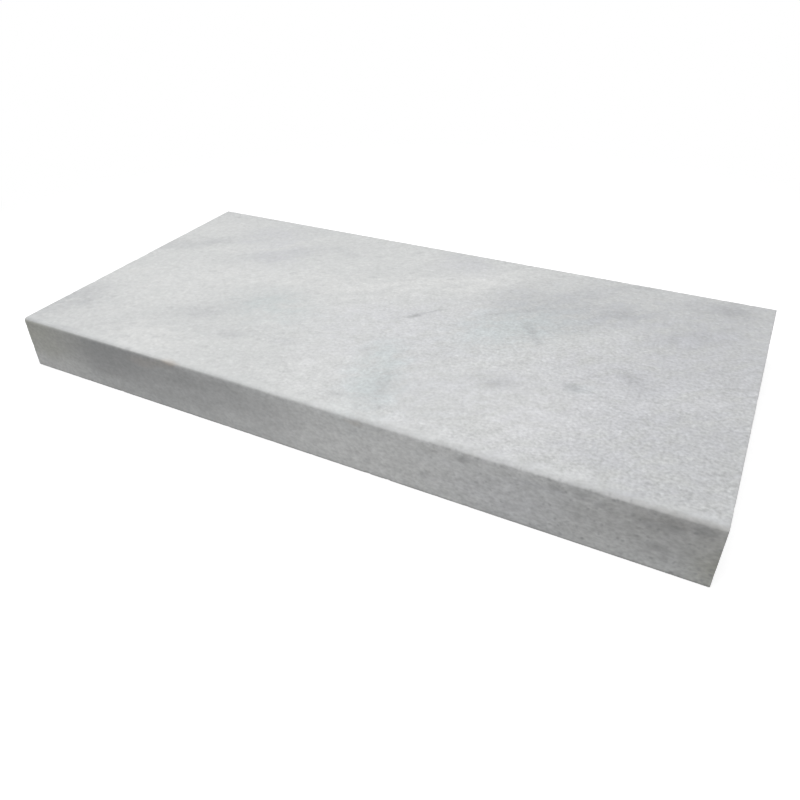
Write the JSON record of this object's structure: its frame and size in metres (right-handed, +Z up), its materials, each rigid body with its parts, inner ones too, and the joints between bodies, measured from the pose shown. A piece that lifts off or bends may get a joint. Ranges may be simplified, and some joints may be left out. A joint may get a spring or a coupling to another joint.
{
  "type": "coping stone",
  "caption": "Rectangular slab of pale grey marble with a sandblasted top and an eased front edge, laid flat to cap the rim of a pool or a low wall.",
  "frame": {"origin": "centre of the bedding face, which is the underside", "axes": "+X along the coping, +Y from the eased front edge towards the paving behind, +Z up"},
  "size_m": [0.61, 0.305, 0.05],
  "materials": {
    "marble": "matte"
  },
  "bodies": {
    "root": {"coping_stone": "marble"}
  },
  "joints": []
}
